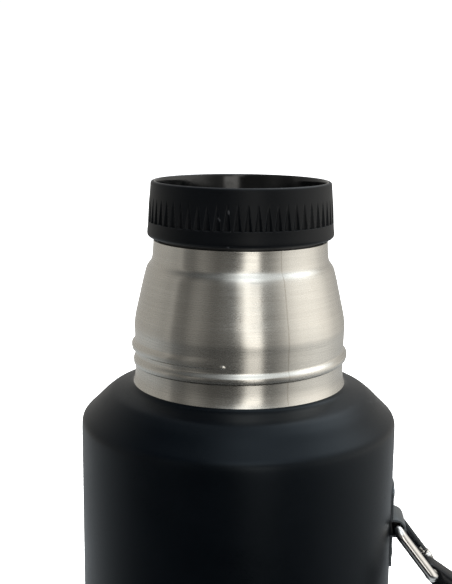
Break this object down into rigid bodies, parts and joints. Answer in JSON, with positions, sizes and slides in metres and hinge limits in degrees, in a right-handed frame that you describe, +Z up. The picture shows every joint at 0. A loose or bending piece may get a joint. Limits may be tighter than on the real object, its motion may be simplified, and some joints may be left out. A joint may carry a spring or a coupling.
{
  "type": "vacuum growler",
  "caption": "Insulated steel growler: powder-coated body, bare brushed neck with a rolled cup thread, ribbed dished screw stopper, and a side carry handle hung on gated wire clips.",
  "frame": {"origin": "centre of the foot pad's flat underside, on the bottle's axis", "axes": "+Z up along the bottle's axis, +X towards the carry handle"},
  "size_m": [0.1835, 0.125, 0.264],
  "materials": {
    "powder_coat": "fine-textured satin powder coat",
    "brushed_steel": "brushed round the axis",
    "liner_steel": "bright, drawn and electropolished",
    "base_steel": "satin powder coat",
    "foot_rubber": "matt moulded",
    "solder_glass": "dull fused glass",
    "getter_metal": "dull sintered",
    "lug_coat": "satin powder coat over pressed steel",
    "clip_wire": "polished stainless wire",
    "gate_coat": "semi-gloss black",
    "pin_steel": "plain",
    "handle_plastic": "satin moulded, rounded edges",
    "stopper_matte": "fine spark-eroded matt",
    "stopper_gloss": "polished moulding",
    "plug_plastic": "plain moulded",
    "foam": "closed-cell foam",
    "gasket_silicone": "translucent silicone"
  },
  "bodies": {
    "bottle": {"outer_shell": "powder_coat", "neck_shell": "brushed_steel", "inner_liner": "liner_steel", "liner_base": "liner_steel", "base_plate": "base_steel", "foot_pad": "foot_rubber", "vacuum_seal_tip": "solder_glass", "getter": "getter_metal", "getter_clip": "liner_steel", "upper_lug": "lug_coat", "upper_lug_studs": "lug_coat", "lower_lug": "lug_coat", "lower_lug_studs": "lug_coat"},
    "gasket": {"mouth_gasket": "gasket_silicone"},
    "stopper": {"stopper_grip_ring": "stopper_matte", "stopper_dish": "stopper_gloss", "stopper_body": "plug_plastic", "stopper_foam_core": "foam", "stopper_bottom_cap": "plug_plastic"},
    "upper_clip": {"upper_clip": "clip_wire", "upper_gate_pin": "pin_steel"},
    "upper_gate": {"upper_clip_gate": "gate_coat"},
    "lower_clip": {"lower_clip": "clip_wire", "lower_gate_pin": "pin_steel"},
    "lower_gate": {"lower_clip_gate": "gate_coat"},
    "handle": {"carry_handle": "handle_plastic"}
  },
  "joints": [
    {"name": "stopper_lift", "type": "slide", "parent": "bottle", "child": "gasket", "axis": [0, 0, 1], "range_m": [0, 0.0401]},
    {"name": "stopper_unscrew", "type": "hinge", "parent": "gasket", "child": "stopper", "pos_m": [0, 0, 0.238], "axis": [0, 0, 1], "range_deg": [0, 2880]},
    {"name": "upper_clip_swing", "type": "hinge", "parent": "bottle", "child": "upper_clip", "pos_m": [0.065, 0, 0.1265], "axis": [0, -1, 0], "range_deg": [-24, 130]},
    {"name": "handle_pivot", "type": "hinge", "parent": "upper_clip", "child": "handle", "pos_m": [0.07991, 0, 0.10706], "axis": [0, -1, 0], "range_deg": [-130, 24]},
    {"name": "lower_clip_swing", "type": "hinge", "parent": "bottle", "child": "lower_clip", "pos_m": [0.065, 0, 0.0285], "axis": [0, -1, 0], "range_deg": [-24, 130]},
    {"name": "upper_gate_swing", "type": "hinge", "parent": "upper_clip", "child": "upper_gate", "pos_m": [0.07633, 0.01015, 0.11124], "axis": [0.7934, 0, 0.6088], "range_deg": [0, 38], "stiffness_Nm_per_rad": 0.03, "springref_deg": -11.46},
    {"name": "lower_gate_swing", "type": "hinge", "parent": "lower_clip", "child": "lower_gate", "pos_m": [0.07633, 0.01015, 0.01324], "axis": [0.7934, 0, 0.6088], "range_deg": [0, 38], "stiffness_Nm_per_rad": 0.03, "springref_deg": -11.46}
  ],
  "couplings": [
    {"joint": "stopper_lift", "follows": "stopper_unscrew", "m_per_rad": 0.00079577},
    {"joint": "handle_pivot", "follows": "upper_clip_swing", "ratio": -1},
    {"joint": "lower_clip_swing", "follows": "upper_clip_swing", "ratio": 1}
  ]
}
